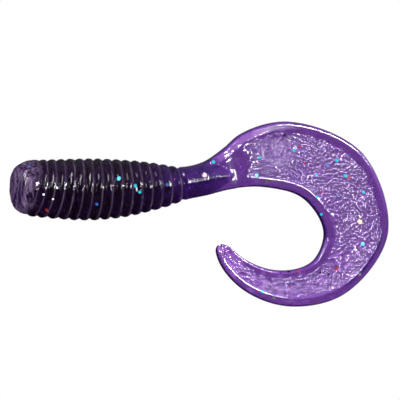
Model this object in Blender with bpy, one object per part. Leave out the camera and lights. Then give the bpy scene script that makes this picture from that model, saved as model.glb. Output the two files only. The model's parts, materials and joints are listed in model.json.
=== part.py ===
"""A soft plastic curl-tail grub, cut into the short lengths that bend against each other.

Frame, in metres: the origin is the centre of the flat nose face, +X runs from the nose to the tail,
+Z is up as the bait swims, and the flat tail blade lies in the XZ plane. Y = 0 is the mirror plane.
"""

import math

import bpy
import numpy as np

MM = 0.001

# Body
BODY_RADIUS = 3.95 * MM
NECK_RADIUS = 2.1 * MM
COLLAR_LENGTH = 2.3 * MM
RIB_COUNT = 15
RIB_PITCH = 1.31 * MM
RIB_DEPTH = 0.3 * MM
VALLEY_SHARE = 0.6
VALLEY_ROUNDNESS = 0.8
NECK_LENGTH = 3.35 * MM
NECK_RISE = 1.2 * MM
RISE_AT_LAST_RIB = 0.45
NECK_FLARE = 1.05
RIBS_IN_A_LENGTH = 4

# Tail
CURL_OUTER_RADIUS = 15.0 * MM
CURL_INNER_RADIUS = 5.25 * MM
NECK_MEETS_CURL_AT = 146.2
NECK_MEETS_CURL_SHARE = 0.8746
ROOT_THICKNESS = 1.9 * MM
TIP_THICKNESS = 1.1 * MM
BORDER_WIDTH = 1.2 * MM
BEVEL_WIDTH = 0.3 * MM
PANEL_RECESS = 0.12 * MM
EDGE_ROUNDING = 0.5 * MM
FIRST_ROUNDING = 0.14
BUMP_LENGTH = 3.7 * MM
BUMP_CLIMB = 0.1
BLADE_LEAD = 0.2 * MM
BLADE_RUN_IN = 0.3
FULL_BORDER_WIDTHS = 3.4

# The cuts between lengths
GAP = 0.25 * MM
PIVOT_SETBACK = 0.8
BARREL_MARGIN = 0.1 * MM
NECK_CUT_SETBACK = 0.6

RIBBED_LENGTH = COLLAR_LENGTH + RIB_COUNT * RIB_PITCH
NECK_END = RIBBED_LENGTH + NECK_LENGTH
CURL_CENTRE = np.array([NECK_END, NECK_RISE]) - NECK_MEETS_CURL_SHARE * CURL_OUTER_RADIUS * np.array(
    [math.cos(math.radians(NECK_MEETS_CURL_AT)), math.sin(math.radians(NECK_MEETS_CURL_AT))]
)

# Share of the ribbed length, share of the body radius, share of the neck's rise (below 0 the body sags).
BODY_STATIONS = (
    (0.000, 0.710, 0.0),
    (0.035, 0.820, 0.0),
    (0.083, 0.880, 0.0),
    (0.230, 0.950, -0.08),
    (0.438, 1.000, -0.15),
    (0.636, 0.945, -0.07),
    (0.824, 0.790, 0.16),
    (0.939, 0.650, 0.31),
)

# Angle about the curl's centre, lean of the section, inner edge as a share of the curl's inner radius,
# outer edge as a share of its outer radius.
TAIL_STATIONS = (
    (134.5, 13.0, 1.81, 0.932),
    (120.5, 10.0, 1.47, 0.962),
    (105.0, 7.0, 1.23, 0.977),
    (90.0, 0.0, 1.10, 0.984),
    (45.0, 0.0, 0.98, 0.996),
    (0.0, 0.0, 1.00, 0.928),
    (-45.0, 0.0, 0.95, 0.738),
    (-90.0, 0.0, 0.87, 0.615),
    (-130.0, 0.0, 1.01, 0.607),
    (-158.0, 0.0, 1.30, 0.638),
    (-172.5, 0.0, 1.53, 0.645),
)
TIP_ROUNDING = 1.0 * MM

# Each cut of the tail: its angle about the curl's centre, and whether the blade flaps or opens there.
TAIL_CUTS = (
    (118.0, "open"),
    (86.0, "flap"),
    (55.0, "open"),
    (24.0, "flap"),
    (-8.0, "open"),
    (-42.0, "flap"),
    (-78.0, "open"),
    (-116.0, "flap"),
)

LENGTH_NAMES = (
    "body_front",
    "body_second",
    "body_third",
    "body_rear",
    "neck",
    "tail_root",
    "tail_rise",
    "tail_crown",
    "tail_shoulder",
    "tail_back",
    "tail_turn",
    "tail_foot",
    "tail_return",
    "tail_tip",
)

NOSE_COLOUR = (0.03, 0.012, 0.06)
TIP_COLOUR = (0.19, 0.072, 0.36)
ROUGHNESS = 0.22
TRANSMISSION = 0.25

LOOP = 32
HALF_LOOP = LOOP // 2
CAP_RINGS = (0.8, 0.5, 0.2)
RING_STEP = 1.1 * MM
RING_MARGIN = 0.15 * MM
RINGS_IN_A_RIB = 4
COLLAR_RINGS = (0.12, 0.45, 0.75)
TIP_RINGS = (0.1, 0.03)

# How far to either side of a cut its surface is looked for
CREST_SHARE = 0.5
PAST_GROOVE = 0.1
BALL_REACH = 1.2
BLADE_REACH = 0.55
SEARCH_COUNT = 800
HALVINGS = 40


def curve(knots, values, at):
    """A smooth curve through the values at the knots, flat past either end."""
    knots = np.asarray(knots, float)
    values = np.asarray(values, float)
    slopes = np.gradient(values, knots, axis=0)
    at = np.clip(at, knots[0], knots[-1])
    cell = np.clip(np.searchsorted(knots, at, side="right") - 1, 0, len(knots) - 2)
    step = knots[cell + 1] - knots[cell]
    t = (at - knots[cell]) / step
    if values.ndim > 1:
        t = t[..., None]
        step = step[..., None]
    return (
        values[cell] * (2 * t**3 - 3 * t**2 + 1)
        + slopes[cell] * step * (t**3 - 2 * t**2 + t)
        + values[cell + 1] * (3 * t**2 - 2 * t**3)
        + slopes[cell + 1] * step * (t**3 - t**2)
    )


def polar(angle, radius):
    turn = math.radians(angle)
    return CURL_CENTRE + radius * np.array([math.cos(turn), math.sin(turn)])


def section_rows():
    """Centre, half span to the upper or outer edge, and half thickness of every section, nose to tip."""
    centres = [
        np.array([share * RIBBED_LENGTH, rise * NECK_RISE])
        for share, _, rise in BODY_STATIONS
    ]
    radii = [share * BODY_RADIUS for _, share, _ in BODY_STATIONS]
    centres += [
        np.array([RIBBED_LENGTH, RISE_AT_LAST_RIB * NECK_RISE]),
        np.array([NECK_END, NECK_RISE]),
    ]
    radii += [NECK_FLARE * NECK_RADIUS, NECK_RADIUS]
    slopes = np.gradient(np.array(centres), np.array(centres)[:, 0], axis=0)
    spans = []
    for radius, slope in zip(radii, slopes):
        along = slope / np.linalg.norm(slope)
        spans.append(radius * np.array([-along[1], along[0]]))
    halves = list(radii)
    for row, (angle, lean, inner, outer) in enumerate(TAIL_STATIONS):
        low = polar(angle + lean / 2, inner * CURL_INNER_RADIUS)
        high = polar(angle - lean / 2, outer * CURL_OUTER_RADIUS)
        centres.append((low + high) / 2)
        spans.append((high - low) / 2)
        share = row / (len(TAIL_STATIONS) - 1)
        halves.append((ROOT_THICKNESS + share * (TIP_THICKNESS - ROOT_THICKNESS)) / 2)
    return np.array(centres), np.array(spans), np.array(halves)


CENTRES, SPANS, HALVES = section_rows()
BODY_ROWS = len(CENTRES) - len(TAIL_STATIONS)
KNOTS = np.concatenate(
    [[0.0], np.cumsum(np.linalg.norm(np.diff(CENTRES, axis=0), axis=1))]
)
RIBS_END = KNOTS[BODY_ROWS - 2]
BLADE_START = KNOTS[BODY_ROWS - 1]
TAIL_END = KNOTS[-1]


def smooth_step(value, start, end):
    t = np.clip((value - start) / (end - start), 0, 1)
    return t * t * (3 - 2 * t)


def rib_groove(s):
    """How far the grooves between ribs cut in at s: narrow valleys between round crests."""
    first = COLLAR_LENGTH
    phase = (s - first) / (RIBS_END - first) * RIB_COUNT
    valley = np.abs(phase - np.round(phase)) * 2
    inside = (s > first - RIB_PITCH / 2) & (s < RIBS_END + RIB_PITCH / 2)
    wall = np.minimum(valley / VALLEY_SHARE, 1) ** VALLEY_ROUNDNESS
    return np.where(inside, RIB_DEPTH * (1 - wall), 0.0)


def border_scale(width):
    """1 where the blade has room for its full border, less where it is narrow."""
    return np.minimum(1, width / (FULL_BORDER_WIDTHS * (BORDER_WIDTH + BEVEL_WIDTH)))


def loop_shares(s):
    """Place across the section of each point of half the loop, from the upper edge (1) to the lower (-1)."""
    width = 2 * np.linalg.norm(curve(KNOTS, SPANS, s), axis=-1)
    round_section = np.cos(np.linspace(0, math.pi, HALF_LOOP + 1))
    scale = border_scale(width)
    edge = np.array(
        [0.0, FIRST_ROUNDING * EDGE_ROUNDING, EDGE_ROUNDING, BORDER_WIDTH, BORDER_WIDTH + BEVEL_WIDTH]
    )
    upper = 1 - 2 * edge * (scale / width)[..., None]
    panel = upper[..., -1:] * np.linspace(1, -1, HALF_LOOP + 3 - 2 * len(edge))[1:-1]
    blade = np.concatenate([upper, panel, -upper[..., ::-1]], axis=-1)
    flat = smooth_step(s, BLADE_START - BLADE_LEAD, BLADE_START + BUMP_LENGTH)[..., None]
    return round_section * (1 - flat) + blade * flat


def half_thickness(s, share, width, x, z):
    """Half the thickness at a place across the section: a disc on the body, a bordered blade on the tail."""
    half = curve(KNOTS, HALVES, s)
    disc = half * np.sqrt(np.clip(1 - share**2, 0, 1))
    scale = border_scale(width)
    inset = (1 - np.abs(share)) * width / 2
    edge = np.clip(inset / (EDGE_ROUNDING * scale), 0, 1)
    recess = smooth_step(inset, BORDER_WIDTH * scale, (BORDER_WIDTH + BEVEL_WIDTH) * scale)
    blade_half = np.minimum(half, ROOT_THICKNESS / 2)
    blade = blade_half * np.sqrt(1 - (1 - edge) ** 2) - PANEL_RECESS * scale * recess
    run = np.clip((x - NECK_END) / BUMP_LENGTH, 0, 1)
    reach = NECK_RADIUS * np.sqrt(1 - run**2) + 1e-9
    height = NECK_RADIUS + run * (ROOT_THICKNESS / 2 - NECK_RADIUS)
    offset = (z - NECK_RISE - BUMP_CLIMB * (x - NECK_END)) / reach
    bump = height * np.sqrt(np.clip(1 - offset**2, 0, 1)) * (run < 1)
    tail = np.maximum(blade, bump)
    flat = smooth_step(s, BLADE_START - BLADE_LEAD, BLADE_START + BLADE_RUN_IN * BUMP_LENGTH)
    return disc * (1 - flat) + tail * flat


def point(s, index, depth=1.0):
    """The point at s on loop point index, or inside it where depth is under 1. All three broadcast."""
    s, index = np.broadcast_arrays(np.asarray(s, float), index)
    side = np.where(index <= HALF_LOOP, 1.0, -1.0)
    folded = np.where(index <= HALF_LOOP, index, LOOP - index)
    share = np.take_along_axis(loop_shares(s), folded[..., None], axis=-1)[..., 0]
    centre = curve(KNOTS, CENTRES, s)
    span = curve(KNOTS, SPANS, s)
    left = np.clip((TAIL_END - s) / TIP_ROUNDING, 0, 1)
    closing = np.sqrt(1 - (1 - left) ** 2)
    width = 2 * np.linalg.norm(span, axis=-1)
    trim = 1 - np.where(depth == 1, rib_groove(s) / (width / 2), 0)
    flat = centre + span * (share * depth * trim * closing)[..., None]
    half = half_thickness(s, share, width, flat[..., 0], flat[..., 1]) * closing
    y = half * side * depth * trim
    return np.stack([flat[..., 0], y, flat[..., 1]], axis=-1)


class BallCut:
    """A round cut of the body: a dome on the rear length turns inside a cup in the front one."""

    def __init__(self, s, setback):
        self.ribbed = s < RIBS_END
        radius = np.linalg.norm(curve(KNOTS, SPANS, s)) - RIB_DEPTH * self.ribbed
        self.place = s
        self.pivot_s = s + setback * radius
        centre = curve(KNOTS, CENTRES, self.pivot_s)
        self.pivot = np.array([centre[0], 0.0, centre[1]])
        self.ball = math.hypot(radius, setback * radius)

    def beyond(self, points, rear):
        """Negative where the point is past the cut, on the tail's side of it."""
        return np.linalg.norm(points - self.pivot, axis=-1) - self.ball - GAP * (not rear)

    def bracket(self, depth):
        if depth == 1 and self.ribbed:
            return self.place - CREST_SHARE * RIB_PITCH, self.place + PAST_GROOVE * RIB_PITCH
        return self.place - BALL_REACH * self.ball, self.pivot_s


class BladeCut:
    """A cut across the blade, in line with the curl's centre: flat, or rounded so that the blade can flap."""

    def __init__(self, angle, kind):
        turn = math.radians(angle)
        self.kind = kind
        self.along = np.array([math.sin(turn), 0.0, -math.cos(turn)])
        self.across = np.array([math.cos(turn), 0.0, math.sin(turn)])
        self.centre = np.array([CURL_CENTRE[0], 0.0, CURL_CENTRE[1]])
        tries = np.linspace(BLADE_START, TAIL_END, SEARCH_COUNT)
        middles = curve(KNOTS, CENTRES, tries) - CURL_CENTRE
        past = np.unwrap(np.arctan2(middles[:, 1], middles[:, 0])) < turn
        self.place = tries[np.argmax(past)]
        self.half = float(curve(KNOTS, HALVES, self.place))
        span = curve(KNOTS, SPANS, self.place)
        middle = curve(KNOTS, CENTRES, self.place)
        reach = np.linalg.norm(middle - CURL_CENTRE)
        if kind == "open":
            reach += np.linalg.norm(span)
        self.pivot = self.centre + reach * self.across

    def beyond(self, points, rear):
        away = (points - self.centre) @ self.along
        if self.kind == "open":
            return GAP * (0.5 if rear else -0.5) - away
        barrel = self.half + BARREL_MARGIN + (0 if rear else GAP)
        return -away - np.sqrt(np.clip(barrel**2 - points[..., 1] ** 2, 0, None))

    def bracket(self, depth):
        reach = BLADE_REACH * (CURL_OUTER_RADIUS - CURL_INNER_RADIUS)
        return self.place - reach, self.place + reach


class FaceCut:
    """The flat nose face."""

    place = 0.0
    pivot = np.zeros(3)

    def beyond(self, points, rear):
        return -points[..., 0]

    def bracket(self, depth):
        return 0.0, 0.0


def crossing(cut, index, depth, rear):
    """Where each line of the loop meets the cut, by halving the bracket."""
    start, end = cut.bracket(depth)
    low = np.full(index.shape, start)
    high = np.full(index.shape, end)
    for _ in range(HALVINGS):
        middle = (low + high) / 2
        before = cut.beyond(point(middle, index, depth), rear) > 0
        low = np.where(before, middle, low)
        high = np.where(before, high, middle)
    return (low + high) / 2


def ring_places(start, end):
    """Where rings stand between two cuts: four to a rib, then evenly."""
    steps = np.arange(-1, RINGS_IN_A_RIB * RIB_COUNT) / (RINGS_IN_A_RIB * RIB_COUNT)
    ribs = COLLAR_LENGTH + steps * (RIBS_END - COLLAR_LENGTH)
    collar = np.array(COLLAR_RINGS) * COLLAR_LENGTH
    count = max(2, round((TAIL_END - RIBS_END) / RING_STEP))
    smooth = RIBS_END + (TAIL_END - RIBS_END) * np.arange(count) / count
    places = np.unique(np.round(np.concatenate([collar, ribs, smooth]), 9))
    return places[(places > start + RING_MARGIN) & (places < end - RING_MARGIN)]


def cap(rings, points, cut, rear):
    """Adds the rings of an end face, towards its middle, and its middle point."""
    index = np.arange(LOOP)
    for depth in CAP_RINGS:
        rings.append(point(crossing(cut, index, depth, rear), index, depth))
    middle = point(crossing(cut, index[:1], 0.0, rear), index[:1], 0.0)
    points.append(middle[0])


def length_mesh(front, rear):
    """Rings of one length, from the middle of its front face to the middle of its rear face."""
    index = np.arange(LOOP)
    begin = crossing(front, index, 1, True)
    front_rings, middles = [], []
    cap(front_rings, middles, front, True)
    rings = front_rings[::-1]
    rings.append(point(begin, index))
    if rear is None:
        finish = np.full(LOOP, TAIL_END)
    else:
        finish = crossing(rear, index, 1, False)
    begin_mean, finish_mean = begin.mean(), finish.mean()
    for place in ring_places(begin_mean, finish_mean):
        share = (place - begin_mean) / (finish_mean - begin_mean)
        rings.append(point(begin + share * (finish - begin), index))
    if rear is None:
        for left in TIP_RINGS:
            rings.append(point(TAIL_END - left * TIP_ROUNDING, index))
        middles.append(point(np.array([TAIL_END]), index[:1], 0.0)[0])
    else:
        rings.append(point(finish, index))
        rear_rings = []
        cap(rear_rings, middles, rear, False)
        rings += rear_rings
    return rings, middles


def make_length(name, front, rear, material):
    """One length as an object whose origin is the pivot at its front end."""
    rings, middles = length_mesh(front, rear)
    points = np.concatenate(rings + [np.array(middles)]) - front.pivot
    first, last = len(points) - 2, len(points) - 1
    faces = []
    for column in range(LOOP):
        beside = (column + 1) % LOOP
        faces.append((first, column, beside))
        for row in range(len(rings) - 1):
            here, there = row * LOOP, (row + 1) * LOOP
            faces.append((here + column, there + column, there + beside, here + beside))
        end = (len(rings) - 1) * LOOP
        faces.append((last, end + beside, end + column))
    mesh = bpy.data.meshes.new(name)
    mesh.from_pydata(points.tolist(), [], faces)
    mesh.validate()
    mesh.polygons.foreach_set("use_smooth", [True] * len(mesh.polygons))
    mesh.materials.append(material)
    made = bpy.data.objects.new(name, mesh)
    made.location = front.pivot
    bpy.context.scene.collection.objects.link(made)
    return made


def plastisol(name, colour):
    material = bpy.data.materials.new(name)
    material.use_nodes = True
    shader = material.node_tree.nodes["Principled BSDF"]
    shader.inputs["Base Color"].default_value = (*colour, 1)
    shader.inputs["Roughness"].default_value = ROUGHNESS
    shader.inputs["Transmission Weight"].default_value = TRANSMISSION
    return material


def main():
    for old in list(bpy.data.objects):
        bpy.data.objects.remove(old, do_unlink=True)
    pitch = (RIBS_END - COLLAR_LENGTH) / RIB_COUNT
    cuts = [FaceCut()]
    for ribs in range(RIBS_IN_A_LENGTH, RIB_COUNT + RIBS_IN_A_LENGTH, RIBS_IN_A_LENGTH):
        cuts.append(BallCut(COLLAR_LENGTH + min(ribs, RIB_COUNT) * pitch, PIVOT_SETBACK))
    cuts.append(BallCut(BLADE_START, NECK_CUT_SETBACK))
    cuts += [BladeCut(angle, kind) for angle, kind in TAIL_CUTS]
    for order, name in enumerate(LENGTH_NAMES):
        front = cuts[order]
        rear = cuts[order + 1] if order + 1 < len(cuts) else None
        share = order / (len(LENGTH_NAMES) - 1)
        colour = np.array(NOSE_COLOUR) + share * (np.array(TIP_COLOUR) - NOSE_COLOUR)
        make_length(name, front, rear, plastisol(name, colour))


main()
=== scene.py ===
import json
import math

import bpy
import numpy as np
from mathutils import Matrix, Vector, noise

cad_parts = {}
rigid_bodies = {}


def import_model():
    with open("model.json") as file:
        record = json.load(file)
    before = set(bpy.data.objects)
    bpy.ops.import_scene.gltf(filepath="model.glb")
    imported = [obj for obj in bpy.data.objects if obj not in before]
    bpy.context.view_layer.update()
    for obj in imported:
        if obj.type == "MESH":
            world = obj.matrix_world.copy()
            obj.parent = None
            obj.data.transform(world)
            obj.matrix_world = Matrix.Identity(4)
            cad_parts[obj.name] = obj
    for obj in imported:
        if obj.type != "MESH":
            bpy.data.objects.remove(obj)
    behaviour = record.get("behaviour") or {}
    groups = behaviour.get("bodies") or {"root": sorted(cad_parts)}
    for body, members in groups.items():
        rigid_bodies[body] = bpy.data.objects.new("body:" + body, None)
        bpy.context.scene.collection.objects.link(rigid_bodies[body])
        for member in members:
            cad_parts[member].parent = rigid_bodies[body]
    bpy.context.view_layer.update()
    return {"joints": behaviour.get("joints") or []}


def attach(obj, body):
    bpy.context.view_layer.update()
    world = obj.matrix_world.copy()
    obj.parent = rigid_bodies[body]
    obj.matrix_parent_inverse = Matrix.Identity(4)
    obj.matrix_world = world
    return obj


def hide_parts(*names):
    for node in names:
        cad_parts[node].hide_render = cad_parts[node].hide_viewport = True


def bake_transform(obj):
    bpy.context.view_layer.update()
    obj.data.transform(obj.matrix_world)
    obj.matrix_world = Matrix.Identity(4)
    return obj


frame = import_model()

MM = 0.001

# ---------------------------------------------------------------- the bait's form, in millimetres

BODY_RADIUS = 3.95
NECK_RADIUS = 2.1
COLLAR_LENGTH = 2.3
RIB_COUNT = 15
RIB_PITCH = 1.31
NECK_LENGTH = 3.35
NECK_RISE = 1.2
RISE_AT_LAST_RIB = 0.45
NECK_FLARE = 1.05
CURL_OUTER_RADIUS = 15.0
CURL_INNER_RADIUS = 5.25
NECK_MEETS_CURL_AT = 146.2
NECK_MEETS_CURL_SHARE = 0.8746
ROOT_THICKNESS = 1.9
TIP_THICKNESS = 1.1
BUMP_LENGTH = 3.7
TIP_ROUNDING = 1.0

RIB_DEPTH = 0.36
BORDER_WIDTH = 1.1
BEVEL_WIDTH = 0.5
INNER_BEVEL_WIDTH = 1.4
EDGE_ROUNDING = 0.42
PANEL_RECESS = 0.08
GROOVE_DEPTH = 0.03
MICRO_PITCH = 0.4
MICRO_DEPTH = 0.03
DOME_SIZE = 0.36
DOME_STEEPNESS = 0.21

# Edges keep their full size on a blade wider than this, and shrink with a narrower one.
FULL_EDGE_WIDTH = 4.6
# How far before the blade's first section the round neck begins to turn into it.
BLADE_LEAD = 0.2
# How far the nose face's middle stands in from its rim.
NOSE_HOLLOW = 0.05

RIBBED_LENGTH = COLLAR_LENGTH + RIB_COUNT * RIB_PITCH
NECK_END = RIBBED_LENGTH + NECK_LENGTH


def direction(angle):
    """Unit vectors in the tail's plane, at angles in degrees from +X towards +Z."""
    turn = np.radians(angle)
    return np.stack([np.cos(turn), np.sin(turn)], axis=-1)


CURL_CENTRE = np.array([NECK_END, NECK_RISE]) - NECK_MEETS_CURL_SHARE * CURL_OUTER_RADIUS * direction(
    NECK_MEETS_CURL_AT
)

# Share of the ribbed length, share of the body radius, share of the neck's rise.
BODY_STATIONS = (
    (0.000, 0.710, 0.0),
    (0.035, 0.820, 0.0),
    (0.083, 0.880, 0.0),
    (0.230, 0.950, -0.08),
    (0.438, 1.000, -0.15),
    (0.636, 0.945, -0.07),
    (0.824, 0.790, 0.16),
    (0.939, 0.650, 0.31),
)

# Angle about the curl's centre, lean, inner and outer edge as shares of the curl's inner and outer radius.
TAIL_STATIONS = (
    (134.5, 13.0, 1.81, 0.932),
    (120.5, 10.0, 1.47, 0.962),
    (105.0, 7.0, 1.23, 0.977),
    (90.0, 0.0, 1.10, 0.984),
    (45.0, 0.0, 0.98, 0.996),
    (0.0, 0.0, 1.00, 0.928),
    (-45.0, 0.0, 0.95, 0.738),
    (-90.0, 0.0, 0.87, 0.615),
    (-130.0, 0.0, 1.01, 0.607),
    (-158.0, 0.0, 1.30, 0.638),
    (-172.5, 0.0, 1.53, 0.645),
)


def curve(knots, values, at):
    """A smooth curve through the values at the knots."""
    knots = np.asarray(knots, float)
    values = np.asarray(values, float)
    slopes = np.gradient(values, knots, axis=0)
    at = np.clip(at, knots[0], knots[-1])
    cell = np.clip(np.searchsorted(knots, at, side="right") - 1, 0, len(knots) - 2)
    step = knots[cell + 1] - knots[cell]
    t = (at - knots[cell]) / step
    if values.ndim > 1:
        t = t[..., None]
        step = step[..., None]
    return (
        values[cell] * (2 * t**3 - 3 * t**2 + 1)
        + slopes[cell] * step * (t**3 - 2 * t**2 + t)
        + values[cell + 1] * (3 * t**2 - 2 * t**3)
        + slopes[cell + 1] * step * (t**3 - t**2)
    )


def step(value, start, end):
    """A smooth rise from 0 at start to 1 at end."""
    t = np.clip((value - start) / (end - start), 0, 1)
    return t * t * (3 - 2 * t)


def section_rows():
    """Centre, half span to the upper or outer edge, and half thickness of every section, nose to tip."""
    centres = [np.array([a * RIBBED_LENGTH, c * NECK_RISE]) for a, _, c in BODY_STATIONS]
    radii = [b * BODY_RADIUS for _, b, _ in BODY_STATIONS]
    centres += [np.array([RIBBED_LENGTH, RISE_AT_LAST_RIB * NECK_RISE]), np.array([NECK_END, NECK_RISE])]
    radii += [NECK_FLARE * NECK_RADIUS, NECK_RADIUS]
    slopes = np.gradient(np.array(centres), np.array(centres)[:, 0], axis=0)
    spans = []
    for radius, slope in zip(radii, slopes):
        along = slope / np.linalg.norm(slope)
        spans.append(radius * np.array([-along[1], along[0]]))
    halves = list(radii)
    for row, (angle, lean, inner, outer) in enumerate(TAIL_STATIONS):
        low = CURL_CENTRE + inner * CURL_INNER_RADIUS * direction(angle + lean / 2)
        high = CURL_CENTRE + outer * CURL_OUTER_RADIUS * direction(angle - lean / 2)
        centres.append((low + high) / 2)
        spans.append((high - low) / 2)
        share = row / (len(TAIL_STATIONS) - 1)
        halves.append((ROOT_THICKNESS + share * (TIP_THICKNESS - ROOT_THICKNESS)) / 2)
    return np.array(centres), np.array(spans), np.array(halves)


CENTRES, SPANS, HALVES = section_rows()
BODY_ROWS = len(CENTRES) - len(TAIL_STATIONS)
KNOTS = np.concatenate([[0.0], np.cumsum(np.linalg.norm(np.diff(CENTRES, axis=0), axis=1))])
RIBS_END = KNOTS[BODY_ROWS - 2]
BLADE_START = KNOTS[BODY_ROWS - 1]
TAIL_END = KNOTS[-1]


def field(points, size, seed, octaves=1):
    """Smooth noise of about -1 to 1 at each point, in lumps of about size."""
    flat = np.asarray(points, float).reshape(-1, 3) / size + seed * 17.31
    if octaves == 1:
        values = [noise.noise(p) for p in flat]
    else:
        values = [noise.fractal(p, 0.9, 2.0, octaves) for p in flat]
    return np.array(values).reshape(np.shape(points)[:-1])


def domes(points, size):
    """Rounded domes packed side by side, about size apart: 0 at each top, falling away as the square."""
    flat = np.asarray(points, float).reshape(-1, 3) / size
    nearest = [noise.voronoi(p)[0][0] for p in flat]
    return (-np.array(nearest) ** 2).reshape(np.shape(points)[:-1])


# ---------------------------------------------------------------- the skin as one grid of rows and columns

HALF = 120
COLUMNS = 2 * HALF
ROUND_COUNT = HALF // 12
BAND_COUNT = HALF // 20
BEVEL_COUNT = HALF // 15
COARSE = 1.0


def row_places():
    """Where each row of the skin lies along the bait, closest together where the relief is finest."""
    body = np.arange(0, RIBS_END, 0.062 * COARSE)
    neck = np.arange(RIBS_END, BLADE_START + BUMP_LENGTH, 0.055 * COARSE)
    tail = np.arange(BLADE_START + BUMP_LENGTH, TAIL_END - TIP_ROUNDING, 0.1 * COARSE)
    turn = np.linspace(0, math.pi / 2, 14)
    end = TAIL_END - TIP_ROUNDING * (1 - np.sin(turn))
    return np.concatenate([body, neck, tail, end])


def shares(s, width):
    """Place across the section of each point of half the loop: 1 at the outer edge, -1 at the inner."""
    disc = np.cos(np.linspace(0, math.pi, HALF + 1))
    scale = np.minimum(1, width / FULL_EDGE_WIDTH)
    rounding = EDGE_ROUNDING * (1 - np.cos(np.linspace(0, math.pi / 2, ROUND_COUNT + 1)))
    band = np.linspace(EDGE_ROUNDING, BORDER_WIDTH, BAND_COUNT + 1)[1:]
    bevel = np.linspace(BORDER_WIDTH, BORDER_WIDTH + BEVEL_WIDTH, BEVEL_COUNT + 1)[1:]
    edge = np.concatenate([rounding, band, bevel])
    outer = 1 - 2 * edge * (scale / width)[:, None]
    panel = outer[:, -1:] * np.linspace(1, -1, HALF + 3 - 2 * len(edge))[1:-1]
    blade = np.concatenate([outer, panel, -outer[:, ::-1]], axis=1)
    flat = step(s, BLADE_START - BLADE_LEAD, BLADE_START + BUMP_LENGTH)[:, None]
    return disc * (1 - flat) + blade * flat


# Place along the bait, how far a ring leads for each millimetre of height, and for each millimetre of -Y.
RINGS_LEAN = (
    (0.0, 0.0, 0.12),
    (2.0, 0.22, 0.09),
    (3.4, 0.17, 0.03),
    (6.1, 0.10, 0.0),
    (10.2, 0.07, -0.06),
    (16.0, 0.03, -0.02),
    (21.5, 0.0, 0.10),
)


def ring_shift(s, grid):
    """The soft rings don't stand quite square: each leans a little, most of all near the nose."""
    places, leans, turns = np.array(RINGS_LEAN).T
    lean = np.interp(s, places, leans)[:, None]
    turn = np.interp(s, places, turns)[:, None]
    fade = 1 - step(s, RIBS_END - 0.5, BLADE_START - 0.4)[:, None]
    ahead = 2.8 * turns[0] * (1 - step(s, 0, 4.0))[:, None]
    return (lean * grid[..., 2] - turn * grid[..., 1] + ahead) * fade


def build_skin():
    """The smooth skin as a grid of points, and what is known at each: depth, inset, border and so on."""
    s = row_places()
    centre = curve(KNOTS, CENTRES, s)
    span = curve(KNOTS, SPANS, s)
    half = curve(KNOTS, HALVES, s)[:, None]
    width = 2 * np.linalg.norm(span, axis=1)
    share = shares(s, width)
    left = np.clip((TAIL_END - s) / TIP_ROUNDING, 0, 1)
    closing = np.sqrt(1 - (1 - left) ** 2)[:, None]
    nose = np.clip(1 - s / 0.5, 0, 1)
    blunt = (1 - 0.03 * (1 - np.sqrt(1 - nose**2)))[:, None]
    centre[:, 1] += 0.15 * np.exp(-(((s - 1.4) / 1.1) ** 2))
    scale = np.minimum(1, width / FULL_EDGE_WIDTH)[:, None]
    flat = centre[:, None] + span[:, None] * (share * closing * blunt)[..., None]
    x, z = flat[..., 0], flat[..., 1]
    s2 = s[:, None] + 0 * share

    disc = half * np.sqrt(np.clip(1 - share**2, 0, 1)) * blunt
    inset = np.minimum((1 - np.abs(share)) * width[:, None] / 2, (TAIL_END - s2) + 0.02)
    edge = np.clip(inset / (EDGE_ROUNDING * scale), 0, 1)
    slim = scale * (1 - 0.45 * step(s, 54, 62)[:, None])
    border = BORDER_WIDTH * np.where(share > 0, scale, slim)
    bevel = np.where(share > 0, BEVEL_WIDTH, INNER_BEVEL_WIDTH) * scale
    recess = step(inset, border, border + bevel)
    groove = np.exp(-(((inset - border - 0.5 * bevel) / (0.4 * BEVEL_WIDTH)) ** 2)) * (share > 0)
    blade = np.minimum(half, ROOT_THICKNESS / 2) * np.sqrt(np.clip(1 - (1 - edge) ** 2, 0, 1))
    blade = blade - scale * (PANEL_RECESS * recess + GROOVE_DEPTH * groove * (inset < 2.2))
    run = np.clip((x - NECK_END) / BUMP_LENGTH, 0, 1)
    reach = NECK_RADIUS * np.sqrt(1 - run**2) + 1e-6
    height = NECK_RADIUS + run * (ROOT_THICKNESS / 2 + 0.12 - NECK_RADIUS)
    offset = (z - NECK_RISE - 0.1 * (x - NECK_END)) / reach
    bump = height * np.sqrt(np.clip(1 - offset**2, 0, 1)) * (run < 1)
    tail = np.maximum(blade, bump)
    onto = step(s2, BLADE_START - BLADE_LEAD, BLADE_START + 0.3 * BUMP_LENGTH)
    y = (disc * (1 - onto) + tail * onto) * closing
    on_bump = np.where(onto > 0, step(bump - blade, 0.0, 0.25), 1.0)
    on_bump = np.where(s2 < BLADE_START, 1.0, on_bump)

    plate = 2 * np.minimum(half, ROOT_THICKNESS / 2) - 2 * scale * PANEL_RECESS * recess
    # The 4.5 * (1 - edge) ** 3 term is not real depth: it paints a dark outline along the blade's edges,
    # painted shade.
    depth_and_painted_outline = (plate + 4.5 * (1 - edge) ** 3) * (1 - on_bump) + 2 * height * on_bump
    depth_and_painted_light = 2 * half * (1 - onto) + depth_and_painted_outline * onto

    front = np.stack([x, -y, z], axis=-1)
    back = np.stack([x, y, z], axis=-1)[:, -2:0:-1]
    grid = np.concatenate([front, back], axis=1)
    flat_x = grid[..., 0].copy()
    grid[..., 0] += ring_shift(s, grid)

    def wide(half_loop):
        """Both sides' values, from one side's."""
        return np.concatenate([half_loop, half_loop[:, -2:0:-1]], axis=1)

    facts = {
        "x": flat_x,
        "s": wide(s2),
        "share": wide(share),
        "inset": wide(inset),
        "depth_and_painted_light": wide(depth_and_painted_light),
        "bump": wide(on_bump),
        "border": wide(border),
        "back": np.concatenate([0 * share, 1 + 0 * share[:, -2:0:-1]], axis=1),
    }
    return grid, facts


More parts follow.
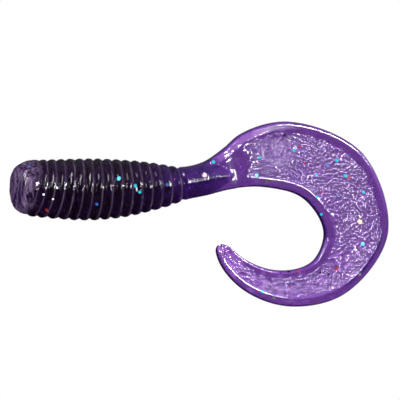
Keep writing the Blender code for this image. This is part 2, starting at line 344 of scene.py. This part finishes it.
def grid_normals(grid):
    """Unit normals of the grid, pointing out of the bait."""
    down = np.gradient(grid, axis=0)
    around = np.roll(grid, -1, axis=1) - np.roll(grid, 1, axis=1)
    normal = np.cross(around, down)
    length = np.linalg.norm(normal, axis=-1, keepdims=True)
    normal = normal / np.maximum(length, 1e-12)
    centre = grid.mean(axis=1, keepdims=True)
    if ((grid - centre) * normal).sum() < 0:
        normal = -normal
    return normal


def rib_phase(s):
    """How many ribs lie between the collar and each place."""
    return (s - COLLAR_LENGTH) / (RIBS_END - COLLAR_LENGTH) * RIB_COUNT


def rib_relief(phase, wobble):
    """Each rib rises steeply from a sharp groove to its crest, and falls more gently towards the tail."""
    p = phase - np.floor(phase)
    rise = np.clip(1 - p / 0.45, 0, 1) ** 1.9
    fall = np.clip((p - 0.5) / 0.5, 0, 1) ** 2.2
    rise = np.where(phase < 0, 0, rise)
    fall = np.where(phase > RIB_COUNT, 0, fall)
    near = (phase > -1) & (phase < RIB_COUNT + 1)
    return np.where(near, -RIB_DEPTH * (rise + fall) * (1 + 0.15 * wobble), 0) + 0.04


# The middle of the patch of the blade that is turned to the lamp, along X and Z.
GLARE_AT = (34.8, 5.0)


def add_relief(grid, facts):
    """Moves the skin along its normals for ribs, ridges, domes and lumps. Adds facts for the material, among
    them where the rib crests take a painted highlight, and puts a painted highlight band and a painted shade
    band into the depth of the blade's outer border.
    """
    normal = grid_normals(grid)
    s, inset, bump = facts["s"], facts["inset"], facts["bump"]
    on_body = s < BLADE_START
    relief = np.zeros(s.shape)

    body_rows = s[:, 0] < BLADE_START + BUMP_LENGTH + 0.2
    part = grid[body_rows]
    phase = rib_phase(s[body_rows] + 0.05 * field(part, 3.0, 5))
    relief[body_rows] += rib_relief(phase, field(part, 2.2, 3))
    # The pale lines along the rib crests are painted highlight: this mask says where they go.
    crest_highlight_mask = np.exp(-(((phase - np.floor(phase) - 0.52) / 0.07) ** 2)) * (phase > -0.6) * (phase < RIB_COUNT)
    crest_highlight_mask = crest_highlight_mask * np.clip(0.7 + 0.6 * field(part, 1.7, 4), 0, 1)
    facts["worn"] = 1 - step(s, 0.3, 2.6)
    facts["crest"] = np.zeros(s.shape)
    facts["crest"][body_rows] = crest_highlight_mask
    relief[body_rows] += 0.02 * field(part, 1.1, 7) * on_body[body_rows]
    ribbed = 1 - step(s[body_rows], RIBS_END - 0.6, RIBS_END)
    relief[body_rows] += 0.035 * field(part * (1, 1, 0.5), 0.3, 6) * ribbed
    collar = 1 - step(s[body_rows], 1.2, 2.6)
    relief[body_rows] += collar * (0.05 * field(part * (0.5, 1, 1), 0.8, 8) + 0.03 * field(part, 0.3, 9))

    micro = np.sin(2 * math.pi * facts["x"] / MICRO_PITCH)
    onto = step(s, RIBS_END + 0.5, RIBS_END + 1.1) * bump
    relief += MICRO_DEPTH * micro * onto * (s < BLADE_START + BUMP_LENGTH + 0.5)

    blade_rows = s[:, 0] > BLADE_START
    part = grid[blade_rows]
    edge = facts["border"][blade_rows]
    panel = step(inset[blade_rows], edge + 0.05, edge + 0.35) * (1 - bump[blade_rows])
    panel = panel * step(s[blade_rows] + 1.5 * field(part, 1.2, 19), BLADE_START + 5.6, BLADE_START + 7.4)
    around = np.degrees(np.arctan2(part[..., 2] - CURL_CENTRE[1], part[..., 0] - CURL_CENTRE[0]))
    outside = (facts["share"][blade_rows] > 0) * (1 - bump[blade_rows])
    # Painted light on the outer border, put into its depth: a lighter band at the upper left is painted
    # highlight, and a darker band at the lower right is painted shade.
    rim = outside * (1 - step(inset[blade_rows], 1.0, 1.5)) * step(inset[blade_rows], 0.15, 0.4)
    pale = rim * np.exp(-(((around - 118) / 26) ** 2))
    painted_shade_band = outside * np.exp(-(((inset[blade_rows] - 0.95) / 0.3) ** 2)) * np.exp(-(((around + 22) / 24) ** 2))
    facts["depth_and_painted_light"][blade_rows] *= (1 - 0.5 * pale) * (1 + 1.1 * painted_shade_band)
    patchy = 0.95 + 0.4 * field(part, 2.5, 11)
    near = part[:, : COLUMNS // 2 + 1]
    cells = np.zeros(part.shape[:2])
    cells[:, : COLUMNS // 2 + 1] = domes(near, DOME_SIZE)
    relief[blade_rows] += DOME_STEEPNESS * cells * panel * patchy
    from_x, from_z = part[..., 0] - GLARE_AT[0], part[..., 2] - GLARE_AT[1]
    dip = np.exp(-((from_x / 2.7) ** 2) - ((from_z / 2.8) ** 2))
    slant = from_x * 0.05 + from_z * 0.09
    inside = step(inset[blade_rows], edge + 0.4, edge + 1.0) * (1 - bump[blade_rows])
    relief[blade_rows] -= dip * slant * inside
    facts["sheen"] = np.zeros(s.shape)
    facts["sheen"][blade_rows] = np.clip(1.6 * dip, 0, 1)
    hatch = 0.85 + 0.6 * field(part, 0.3, 17)
    ridge = np.exp(-(((inset[blade_rows] - BORDER_WIDTH - 0.1) / 0.15) ** 2)) * outside
    relief[blade_rows] += 0.07 * ridge * hatch * np.exp(-(((around - 120) / 18) ** 4))
    outer = np.where(facts["share"] > 0, inset, 99)[blade_rows]
    rings = sum(np.exp(-(((outer - at) / 0.09) ** 2)) for at in (1.95, 2.75, 3.5))
    patch = 0.6 + 0.6 * field(part, 1.6, 13)
    relief[blade_rows] += 0.02 * rings * patch * panel
    relief[blade_rows] += 0.006 * field(part, 1.3, 15) * (1 - bump[blade_rows])
    return grid + normal * relief[..., None]


def cut_tip(grid):
    """A small nick in the very end of the tail, as the mould leaves it."""
    end = curve(KNOTS, CENTRES, np.array([TAIL_END]))[0]
    before = curve(KNOTS, CENTRES, np.array([TAIL_END - 0.5]))[0]
    along = (end - before) / np.linalg.norm(end - before)
    across = np.array([-along[1], along[0]])
    away = grid[..., ::2] - end
    depth = -(away @ along)
    side = away @ across - 0.12
    push = 0.34 * np.clip(1 - np.abs(side) / 0.2, 0, 1) * np.clip(1 - depth / 0.5, 0, 1)
    push = np.where(np.abs(depth) < 1.2, push, 0)
    grid = grid.copy()
    grid[..., 0] -= push * along[0]
    grid[..., 2] -= push * along[1]
    return grid


GRID, FACTS = build_skin()
GRID = cut_tip(add_relief(GRID, FACTS))
NORMALS = grid_normals(GRID)
ROW_S = FACTS["s"][:, 0]


# ---------------------------------------------------------------- where the skin is divided

JOINTS = {j["child"]: j for j in frame["joints"]}
ORDER = ["body_front"]
while len(ORDER) <= len(JOINTS):
    ORDER += [j["child"] for j in frame["joints"] if j["parent"] == ORDER[-1]]


def tail_crossing(angle):
    """The place along the tail where its middle line passes this angle about the curl's centre."""
    tries = np.linspace(BLADE_START, TAIL_END, 4000)
    middles = curve(KNOTS, CENTRES, tries) - CURL_CENTRE
    turned = np.degrees(np.unwrap(np.arctan2(middles[:, 1], middles[:, 0])))
    return tries[np.argmax(turned < angle)]


def pivots():
    """Each joint's pivot, the direction the skin runs in there, and its place along the skin."""
    found = []
    for order, child in enumerate(ORDER[1:]):
        pivot = np.array(JOINTS[child]["pos_m"]) / MM
        if order < 5:
            tries = np.linspace(0, KNOTS[BODY_ROWS], 4000)
            middles = curve(KNOTS, CENTRES, tries)
            place = tries[np.argmin(np.linalg.norm(middles - pivot[::2], axis=1))]
            run = curve(KNOTS, CENTRES, np.array([place - 0.05, place + 0.05]))
            run = (run[1] - run[0]) / np.linalg.norm(run[1] - run[0])
        else:
            away = pivot[::2] - CURL_CENTRE
            angle = math.degrees(math.atan2(away[1], away[0]))
            place = tail_crossing(angle)
            run = np.array([away[1], -away[0]]) / np.linalg.norm(away)
        found.append((pivot, np.array([run[0], 0.0, run[1]]), place))
    return found


PIVOTS = pivots()


def borders():
    """The rows where one piece of skin ends and the next begins, as far as may be from both joints."""
    rows = []
    for (pivot, run, place), (after, onward, beyond) in zip(PIVOTS, PIVOTS[1:]):
        tries = np.flatnonzero((ROW_S > place) & (ROW_S < beyond))
        behind = ((GRID[tries] - pivot) @ run).min(axis=1)
        ahead = (-(GRID[tries] - after) @ onward).min(axis=1)
        rows.append(int(tries[np.argmax(np.minimum(behind, ahead))]))
    return rows


BORDERS = borders()
FIRST_BORDER = int(np.argmin(np.abs(ROW_S - 0.5 * PIVOTS[0][2])))
LIMITS = [FIRST_BORDER] + BORDERS + [len(ROW_S) - 1]


# ---------------------------------------------------------------- materials


# The vinyl's colour after light has crossed so many millimetres of it.
DEPTH_COLOURS = (
    (0.0, (0.55, 0.30, 0.74)),
    (1.0, (0.36, 0.15, 0.60)),
    (1.3, (0.19, 0.060, 0.37)),
    (1.75, (0.145, 0.040, 0.30)),
    (1.95, (0.17, 0.055, 0.35)),
    (2.6, (0.085, 0.022, 0.23)),
    (4.2, (0.036, 0.0090, 0.115)),
    (6.0, (0.015, 0.0042, 0.032)),
    (8.0, (0.0085, 0.0030, 0.012)),
)


def new_material(name):
    """A material with its node tree and its main shader."""
    material = bpy.data.materials.new(name)
    material.use_nodes = True
    tree = material.node_tree
    return material, tree, tree.nodes["Principled BSDF"]


def add(tree, kind, **settings):
    """A new node. Settings that start with in_ are the values of its inputs."""
    node = tree.nodes.new(kind)
    for key, value in settings.items():
        if key.startswith("in_"):
            node.inputs[key[3:].replace("_", " ")].default_value = value
        else:
            setattr(node, key, value)
    return node


def plastisol():
    """Glossy see-through vinyl: its colour deepens with the thickness that light has to cross. That depth
    also carries painted shade along the blade's edges and on its lower right border, and a painted highlight
    on its upper left border; the rib crests get a pale painted highlight.
    """
    material, tree, shader = new_material("plastisol")
    link = tree.links.new
    place = add(tree, "ShaderNodeTexCoord").outputs["Object"]

    def noise_at(scale, detail=2.0):
        """Noise fixed to the object."""
        node = add(tree, "ShaderNodeTexNoise", in_Scale=scale, in_Detail=detail)
        link(place, node.inputs["Vector"])
        return node.outputs["Fac"]

    def remap(value, low, high, to_low, to_high):
        """The value moved from one range to another."""
        node = add(tree, "ShaderNodeMapRange", in_From_Min=low, in_From_Max=high)
        node.inputs["To Min"].default_value = to_low
        node.inputs["To Max"].default_value = to_high
        link(value, node.inputs["Value"])
        return node.outputs["Result"]

    def math_node(operation, first, second):
        """Two values put together."""
        node = add(tree, "ShaderNodeMath", operation=operation)
        link(first, node.inputs[0])
        link(second, node.inputs[1])
        return node.outputs["Value"]

    # The depth that light crosses, with painted shade and a painted highlight added on the blade.
    depth_and_painted_light = add(tree, "ShaderNodeAttribute", attribute_name="depth_and_painted_light").outputs["Fac"]
    sheen = add(tree, "ShaderNodeAttribute", attribute_name="sheen").outputs["Fac"]
    worn = add(tree, "ShaderNodeAttribute", attribute_name="worn").outputs["Fac"]
    # crest: where the rib crests take a pale painted highlight.
    crest = add(tree, "ShaderNodeAttribute", attribute_name="crest").outputs["Fac"]

    cloud = noise_at(900.0, 4.0)
    crossed = math_node("MULTIPLY", depth_and_painted_light, remap(cloud, 0.3, 0.7, 0.8, 1.2))
    ramp = add(tree, "ShaderNodeValToRGB")
    deepest = DEPTH_COLOURS[-1][0]
    link(remap(crossed, 0.0, deepest, 0.0, 1.0), ramp.inputs["Fac"])
    elements = ramp.color_ramp.elements
    while len(elements) < len(DEPTH_COLOURS):
        elements.new(0.5)
    for element, (depth, colour) in zip(elements, DEPTH_COLOURS):
        element.position = depth / deepest
        element.color = (*colour, 1)

    wear_and_painted_highlight = add(tree, "ShaderNodeMix", data_type="RGBA", blend_type="MIX")
    upright = add(tree, "ShaderNodeMapping")
    upright.inputs["Scale"].default_value = (1.0, 1.0, 0.3)
    link(place, upright.inputs["Vector"])
    streaks = add(tree, "ShaderNodeTexNoise", in_Scale=1700.0, in_Detail=4.0, in_Roughness=0.7)
    link(upright.outputs["Vector"], streaks.inputs["Vector"])
    specks = remap(streaks.outputs["Fac"], 0.42, 0.62, 0.0, 1.0)
    faint = remap(noise_at(2400.0, 3.0), 0.62, 0.8, 0.0, 0.25)
    # Pale painted highlight along the rib crests, together with the nose's worn specks and faint random
    # specks.
    painted_crest_highlight = math_node("MULTIPLY", crest, remap(cloud, 0.3, 0.7, 0.2, 0.6))
    wear_and_crest_highlight = math_node("MAXIMUM", math_node("MULTIPLY", worn, specks), painted_crest_highlight)
    link(math_node("MAXIMUM", wear_and_crest_highlight, faint), wear_and_painted_highlight.inputs["Factor"])
    link(ramp.outputs["Color"], wear_and_painted_highlight.inputs[6])
    # One pale colour for both the worn specks and the painted crest highlight.
    wear_and_painted_highlight.inputs[7].default_value = (0.32, 0.21, 0.40, 1)
    link(wear_and_painted_highlight.outputs[2], shader.inputs["Base Color"])

    fine = add(tree, "ShaderNodeBump", in_Distance=0.00002, in_Strength=0.12)
    link(noise_at(5000.0), fine.inputs["Height"])
    link(fine.outputs["Normal"], shader.inputs["Normal"])
    link(fine.outputs["Normal"], shader.inputs["Coat Normal"])

    frosted = math_node("MAXIMUM", remap(cloud, 0.3, 0.7, 0.05, 0.12), remap(sheen, 0.0, 1.0, 0.05, 0.3))
    link(frosted, shader.inputs["Roughness"])
    shader.inputs["IOR"].default_value = 1.5
    shader.inputs["Transmission Weight"].default_value = 0.7
    broad = remap(noise_at(330.0), 0.45, 0.6, 0.1, 1.0)
    patches = math_node("MULTIPLY", broad, remap(noise_at(1600.0), 0.4, 0.6, 0.1, 1.0))
    glossy = add(tree, "ShaderNodeMix", data_type="FLOAT")
    glossy.inputs[2].default_value = 1.0
    link(remap(depth_and_painted_light, 4.3, 4.8, 0.0, 1.0), glossy.inputs["Factor"])
    link(patches, glossy.inputs[3])
    halved = add(tree, "ShaderNodeMath", operation="MULTIPLY")
    link(glossy.outputs[0], halved.inputs[0])
    halved.inputs[1].default_value = 0.5
    link(halved.outputs["Value"], shader.inputs["Coat Weight"])
    link(halved.outputs["Value"], shader.inputs["Specular IOR Level"])
    shader.inputs["Coat Roughness"].default_value = 0.05
    return material


def glitter():
    """Metallised film flakes, each its own colour."""
    material, tree, shader = new_material("glitter")
    link = tree.links.new
    colour = add(tree, "ShaderNodeAttribute", attribute_name="flake")
    film = add(tree, "ShaderNodeTexNoise", in_Scale=9000.0)
    place = add(tree, "ShaderNodeTexCoord")
    link(place.outputs["Object"], film.inputs["Vector"])
    shade = add(tree, "ShaderNodeMix", data_type="RGBA", blend_type="MULTIPLY")
    shade.inputs["Factor"].default_value = 0.3
    link(colour.outputs["Color"], shade.inputs[6])
    link(film.outputs["Color"], shade.inputs[7])
    link(shade.outputs[2], shader.inputs["Base Color"])
    rough = add(tree, "ShaderNodeMapRange")
    rough.inputs["To Min"].default_value = 0.12
    rough.inputs["To Max"].default_value = 0.4
    link(film.outputs["Fac"], rough.inputs["Value"])
    link(rough.outputs["Result"], shader.inputs["Roughness"])
    shader.inputs["Metallic"].default_value = 0.25
    return material


SKIN = plastisol()
GLITTER = glitter()


# ---------------------------------------------------------------- pieces


def make_object(name, points, faces, material):
    """A smooth mesh object from points in millimetres."""
    mesh = bpy.data.meshes.new(name)
    mesh.from_pydata((points * MM).tolist(), [], faces)
    mesh.materials.append(material)
    mesh.polygons.foreach_set("use_smooth", [True] * len(mesh.polygons))
    made = bpy.data.objects.new(name, mesh)
    bpy.context.scene.collection.objects.link(made)
    return made


def point_values(mesh, name, values):
    """Stores a value at each point, for the material to read."""
    layer = mesh.attributes.new(name, "FLOAT", "POINT")
    layer.data.foreach_set("value", np.asarray(values, np.float32).ravel())


def strip_faces(rows):
    """The four-sided faces between so many closed rows."""
    row, column = np.meshgrid(np.arange(rows - 1), np.arange(COLUMNS), indexing="ij")
    beside = (column + 1) % COLUMNS
    corners = (row * COLUMNS + column, row * COLUMNS + beside)
    faces = np.stack([corners[0], corners[1], corners[1] + COLUMNS, corners[0] + COLUMNS], axis=-1)
    return faces.reshape(-1, 4).tolist()


def nose_cap():
    """The rough, flat nose face: rings from its rim to its middle, with their facts."""
    rim = GRID[0]
    middle = rim.mean(axis=0)
    depths = np.linspace(1, 0, 26)[1:-1]
    rings = middle + (rim - middle) * depths[:, None, None]
    rough = 0.12 * field(rings * (1, 1, 0.35), 0.7, 21) + 0.06 * field(rings * (1, 1, 0.5), 0.25, 22)
    fade = step(1 - depths, 0, 0.12)[:, None]
    rings[..., 0] += (rough + NOSE_HOLLOW * (1 - depths[:, None]) ** 2) * fade
    return rings, middle + np.array([NOSE_HOLLOW, 0, 0])


# What the material reads at each point, and its value on the nose face.
ON_NOSE_FACE = {"depth_and_painted_light": 5.0, "sheen": 0.0, "worn": 1.0, "crest": 0.0}


def make_skin(order):
    """One piece of skin. Piece 0 is the nose, and piece n crosses joint n."""
    first = 0 if order == 0 else LIMITS[order - 1]
    last = LIMITS[order]
    rows = slice(first, last + 1)
    points = GRID[rows].reshape(-1, 3)
    normals = NORMALS[rows].reshape(-1, 3)
    stored = {fact: FACTS[fact][rows].ravel() for fact in ON_NOSE_FACE}
    faces = strip_faces(last + 1 - first)
    closed_end = order == len(LIMITS) - 1
    if closed_end:
        keep = len(points) - COLUMNS
        tip = points[keep:].mean(axis=0)
        points = np.concatenate([points[:keep], [tip]])
        stored = {fact: values[: keep + 1] for fact, values in stored.items()}
        normals = np.concatenate([normals[:keep], [(tip - points[keep - COLUMNS :].mean(axis=0))]])
        faces = faces[: -COLUMNS]
        base = keep - COLUMNS
        faces += [(base + c, base + (c + 1) % COLUMNS, keep) for c in range(COLUMNS)]
    if order == 0:
        rings, middle = nose_cap()
        count = len(points)
        points = np.concatenate([points, rings.reshape(-1, 3), [middle]])
        added = len(points) - count
        stored = {fact: np.append(values, [ON_NOSE_FACE[fact]] * added) for fact, values in stored.items()}
        above = 0
        for ring in range(len(rings)):
            here = count + ring * COLUMNS
            for c in range(COLUMNS):
                d = (c + 1) % COLUMNS
                faces.append((above + d, above + c, here + c, here + d))
            above = here
        faces += [(above + (c + 1) % COLUMNS, above + c, len(points) - 1) for c in range(COLUMNS)]
    name = ORDER[order] + "_skin"
    made = make_object(name, points, faces, SKIN)
    mesh = made.data
    if mesh.polygons[0].normal.dot(Vector(normals[0])) < 0:
        mesh.flip_normals()
    for fact, values in stored.items():
        point_values(mesh, fact, values)
    kept = np.zeros((len(points), 3))
    kept[: len(normals)] = normals
    mesh.normals_split_custom_set_from_vertices(kept.tolist())
    return made


def bind(piece, order):
    """Piece 0 rides the nose; every other piece has its placing baked into its points and stays where it is.
    """
    if order == 0:
        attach(piece, ORDER[0])
        return
    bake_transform(piece)


for order, body in enumerate(ORDER):
    skin = make_skin(order)
    bind(skin, order)
    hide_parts(body)


# ---------------------------------------------------------------- glitter flakes

CYAN = (0.01, 0.38, 0.52)
BLUE = (0.03, 0.14, 0.5)
RED = (0.34, 0.02, 0.012)
BLACK = (0.004, 0.004, 0.008)
# The pale pink here and the pale orange below go on two large flakes as painted glints.
PALE_PINK_GLINT = (0.9, 0.62, 0.72)
SILVER = (0.85, 0.85, 0.95)
PALE_GOLD_GLINT = (0.9, 0.55, 0.35)

# Flakes that show on the near side: where they are along X and Z, in millimetres, their colour and size.
SHOWN = (
    (12.9, 1.2, CYAN, 0.6),
    (15.3, -0.2, SILVER, 0.5),
    (15.0, 0.25, CYAN, 0.55),
    (15.7, -0.5, CYAN, 0.45),
    (26.2, 3.4, CYAN, 0.5),
    (32.5, 4.0, CYAN, 0.42),
    (37.2, 4.95, CYAN, 0.5),
    (43.0, 3.6, CYAN, 0.5),
    (40.2, 1.7, CYAN, 0.4),
    (44.2, 1.6, CYAN, 0.45),
    (32.1, 1.7, CYAN, 0.5),
    (40.3, -1.15, CYAN, 0.4),
    (46.6, -0.5, CYAN, 0.5),
    (40.9, -3.4, CYAN, 0.4),
    (46.6, -7.3, CYAN, 0.5),
    (33.0, -13.4, CYAN, 0.4),
    (41.7, 3.0, BLUE, 0.4),
    (10.0, -2.1, BLUE, 0.4),
    (1.4, 2.7, BLUE, 0.45),
    (19.6, 0.4, BLUE, 0.4),
    (3.6, -2.8, RED, 0.45),
    (38.1, 5.4, RED, 0.35),
    (38.6, 3.3, RED, 0.35),
    (44.7, 1.4, RED, 0.35),
    (41.1, -0.5, RED, 0.35),
    (43.0, -10.4, RED, 0.45),
    (37.8, -10.8, RED, 0.4),
    (40.3, -15.0, RED, 0.4),
    (20.6, 1.1, RED, 0.35),
    (33.4, 0.8, BLACK, 0.45),
    (35.9, 6.8, BLACK, 0.35),
    (41.8, 6.0, BLACK, 0.35),
    (46.1, -11.3, BLACK, 0.4),
    (34.5, -14.2, BLACK, 0.45),
    (36.5, -10.9, BLACK, 0.4),
    (40.8, -10.9, BLACK, 0.35),
    (41.9, -11.3, BLACK, 0.4),
    (37.2, 5.15, SILVER, 0.35),
    # The next two large flakes are coloured pale pink and pale orange to stand in for flake glints: painted
    # glints.
    (24.7, 1.7, PALE_PINK_GLINT, 0.7),
    (46.2, -4.4, PALE_GOLD_GLINT, 0.7),
    (42.5, -3.4, SILVER, 0.45),
    (4.6, 0.0, SILVER, 0.3),
    (4.1, -1.4, SILVER, 0.3),
    (2.9, -0.8, SILVER, 0.3),
    (2.0, 0.6, SILVER, 0.3),
)
RANDOM_FLAKES = 170
FLAKE_SIZE = 0.4
FLAKE_THICKNESS = 0.03
SHOWN_DEPTH = -0.04
FLAKE_CORNERS = 6
FLAKE_SEED = 20
ROWS_LEFT_OUT = 20
RANDOM_COLOURS = (CYAN, CYAN, CYAN, BLUE, BLUE, RED, RED, BLACK, BLACK, SILVER)


def flake_spots():
    """(row, column, colour, size, depth) of every flake."""
    rng = np.random.default_rng(FLAKE_SEED)
    spots = []
    front = np.flatnonzero(FACTS["back"][0] == 0)
    for x, z, colour, size in SHOWN:
        away = np.hypot(GRID[:, front, 0] - x, GRID[:, front, 2] - z)
        row, column = np.unravel_index(np.argmin(away), away.shape)
        spots.append((row, front[column], colour, size, SHOWN_DEPTH))
    rows = rng.integers(ROWS_LEFT_OUT, len(ROW_S) - ROWS_LEFT_OUT, RANDOM_FLAKES)
    columns = rng.integers(0, COLUMNS, RANDOM_FLAKES)
    for row, column in zip(rows, columns):
        colour = RANDOM_COLOURS[rng.integers(len(RANDOM_COLOURS))]
        size = FLAKE_SIZE * rng.uniform(0.8, 1.1)
        shown = column in front
        depth = rng.uniform(0.12, 0.3) if shown else rng.uniform(0.06, 0.25)
        spots.append((row, column, colour, size, depth))
    return spots, rng


def flake_mesh(centre, normal, size, tilt, rng):
    """A thin hexagonal plate, tilted a little from the surface it lies under."""
    lean = Vector(rng.normal(0, tilt, 3))
    facing = (Vector(normal) + lean).normalized()
    turn = facing.to_track_quat("Z", "Y").to_matrix() @ Matrix.Rotation(rng.uniform(0, 1), 3, "Z")
    points = []
    for side in (-0.5, 0.5):
        for corner in range(FLAKE_CORNERS):
            angle = corner * 2 * math.pi / FLAKE_CORNERS
            flat = Vector((math.cos(angle) * size / 2, math.sin(angle) * size / 2, side * FLAKE_THICKNESS))
            points.append(np.array(turn @ flat) + centre)
    faces = [(5, 4, 3, 2, 1, 0), (6, 7, 8, 9, 10, 11)]
    faces += [(c, (c + 1) % 6, 6 + (c + 1) % 6, 6 + c) for c in range(6)]
    return np.array(points), faces


SPOTS, RNG = flake_spots()
PLATES = {order: [] for order in range(len(ORDER))}
for row, column, colour, size, depth in SPOTS:
    order = int(np.searchsorted(LIMITS, row, side="left"))
    normal = NORMALS[row, column]
    centre = GRID[row, column] - normal * depth
    plate = flake_mesh(centre, normal, size, 0.1 if depth < 0 else 0.22, RNG)
    PLATES[min(order, len(ORDER) - 1)].append((plate, colour))

for order, plates in PLATES.items():
    if not plates:
        continue
    points, faces, colours = [], [], []
    for (corners, sides), colour in plates:
        base = 2 * FLAKE_CORNERS * len(points)
        points.append(corners)
        faces += [tuple(base + c for c in side) for side in sides]
        colours += [(*colour, 1.0)] * len(corners)
    made = make_object(ORDER[order] + "_glitter", np.concatenate(points), faces, GLITTER)
    made.data.polygons.foreach_set("use_smooth", [False] * len(made.data.polygons))
    layer = made.data.color_attributes.new("flake", "FLOAT_COLOR", "POINT")
    layer.data.foreach_set("color", np.array(colours, np.float32).ravel())
    bind(made, order)


# ---------------------------------------------------------------- floor, light and camera


def area_light(name, azimuth, elevation, distance, width, height, power, aim):
    """A rectangular lamp that faces the aim, and is not itself seen."""
    data = bpy.data.lights.new(name, "AREA")
    data.shape = "RECTANGLE"
    data.size, data.size_y = width, height
    data.energy = power
    light = bpy.data.objects.new(name, data)
    bpy.context.scene.collection.objects.link(light)
    a, e = math.radians(azimuth), math.radians(elevation)
    back = Vector((math.sin(a) * math.cos(e), -math.cos(a) * math.cos(e), math.sin(e)))
    light.location = aim + back * distance
    light.rotation_euler = (-back).to_track_quat("-Z", "Y").to_euler()
    light.visible_camera = False
    light.visible_transmission = False


FLOOR_RADIUS = 0.6
FLOOR_AT = (0.025, 0, -0.06)


def make_floor():
    """A plain pale disc below the bait, out of its reflections."""
    mesh = bpy.data.meshes.new("floor")
    turns = np.radians(np.arange(0, 360, 5))
    rim = [(FLOOR_RADIUS * math.cos(t), FLOOR_RADIUS * math.sin(t), 0) for t in turns]
    mesh.from_pydata(rim, [], [tuple(range(len(rim)))])
    floor = bpy.data.objects.new("floor", mesh)
    floor.location = FLOOR_AT
    bpy.context.scene.collection.objects.link(floor)
    material, tree, shader = new_material("pale_floor")
    mottle = add(tree, "ShaderNodeTexNoise", in_Scale=3.0)
    tone = add(tree, "ShaderNodeMapRange")
    tone.inputs["To Min"].default_value = 0.93
    tone.inputs["To Max"].default_value = 0.95
    tree.links.new(mottle.outputs["Fac"], tone.inputs["Value"])
    tree.links.new(tone.outputs["Result"], shader.inputs["Base Color"])
    shader.inputs["Roughness"].default_value = 0.9
    shader.inputs["Specular IOR Level"].default_value = 0.1
    mesh.materials.append(material)
    floor.visible_glossy = False


def make_world():
    """White all round for what is seen through the bait, and a dim sky for what it mirrors."""
    world = bpy.data.worlds.new("studio")
    bpy.context.scene.world = world
    world.use_nodes = True
    tree = world.node_tree
    link = tree.links.new
    rays = add(tree, "ShaderNodeLightPath")
    split = add(tree, "ShaderNodeSeparateXYZ")
    link(add(tree, "ShaderNodeTexCoord").outputs["Generated"], split.inputs["Vector"])
    sky = add(tree, "ShaderNodeMapRange", interpolation_type="SMOOTHSTEP", in_From_Min=-0.2, in_From_Max=0.9)
    sky.inputs["To Min"].default_value = 0.0
    sky.inputs["To Max"].default_value = 0.15
    link(split.outputs["Z"], sky.inputs["Value"])
    power = add(tree, "ShaderNodeMix", data_type="FLOAT")
    power.inputs[2].default_value = 1.0
    link(rays.outputs["Is Glossy Ray"], power.inputs["Factor"])
    link(sky.outputs["Result"], power.inputs[3])
    link(power.outputs[0], tree.nodes["Background"].inputs["Strength"])
    tree.nodes["Background"].inputs["Color"].default_value = (1, 1, 1, 1)


CAMERA_DISTANCE = 0.8
CAMERA_AZIMUTH = -16
SENSOR_WIDTH = 36
# Metres across the picture, at the bait.
PICTURE_WIDTH = 0.05176


def make_camera(aim):
    """The camera, level with the bait and turned to the photograph's angle."""
    data = bpy.data.cameras.new("camera")
    data.sensor_width = SENSOR_WIDTH
    data.lens = SENSOR_WIDTH * CAMERA_DISTANCE / PICTURE_WIDTH
    camera = bpy.data.objects.new("camera", data)
    bpy.context.scene.collection.objects.link(camera)
    turn = math.radians(CAMERA_AZIMUTH)
    back = Vector((math.sin(turn), -math.cos(turn), 0))
    camera.location = aim + back * CAMERA_DISTANCE
    camera.rotation_euler = (-back).to_track_quat("-Z", "Y").to_euler()
    data.clip_start, data.clip_end = 0.01, 20
    bpy.context.scene.camera = camera


AIM = Vector((24.7, 0, -1.54)) * MM
make_camera(AIM)
make_floor()
make_world()
# Name, azimuth, elevation, distance, width, height, power, aim.
area_light("key", -4, 13, 0.5, 0.024, 0.24, 1.8, AIM)
area_light("glare", 24, 9, 0.5, 0.08, 0.08, 1.3, AIM)
area_light("right", 60, 15, 0.6, 0.1, 0.3, 0.2, AIM)
area_light("left", -80, 30, 0.6, 0.15, 0.3, 1.5, AIM)
bpy.context.scene.view_settings.view_transform = "Standard"
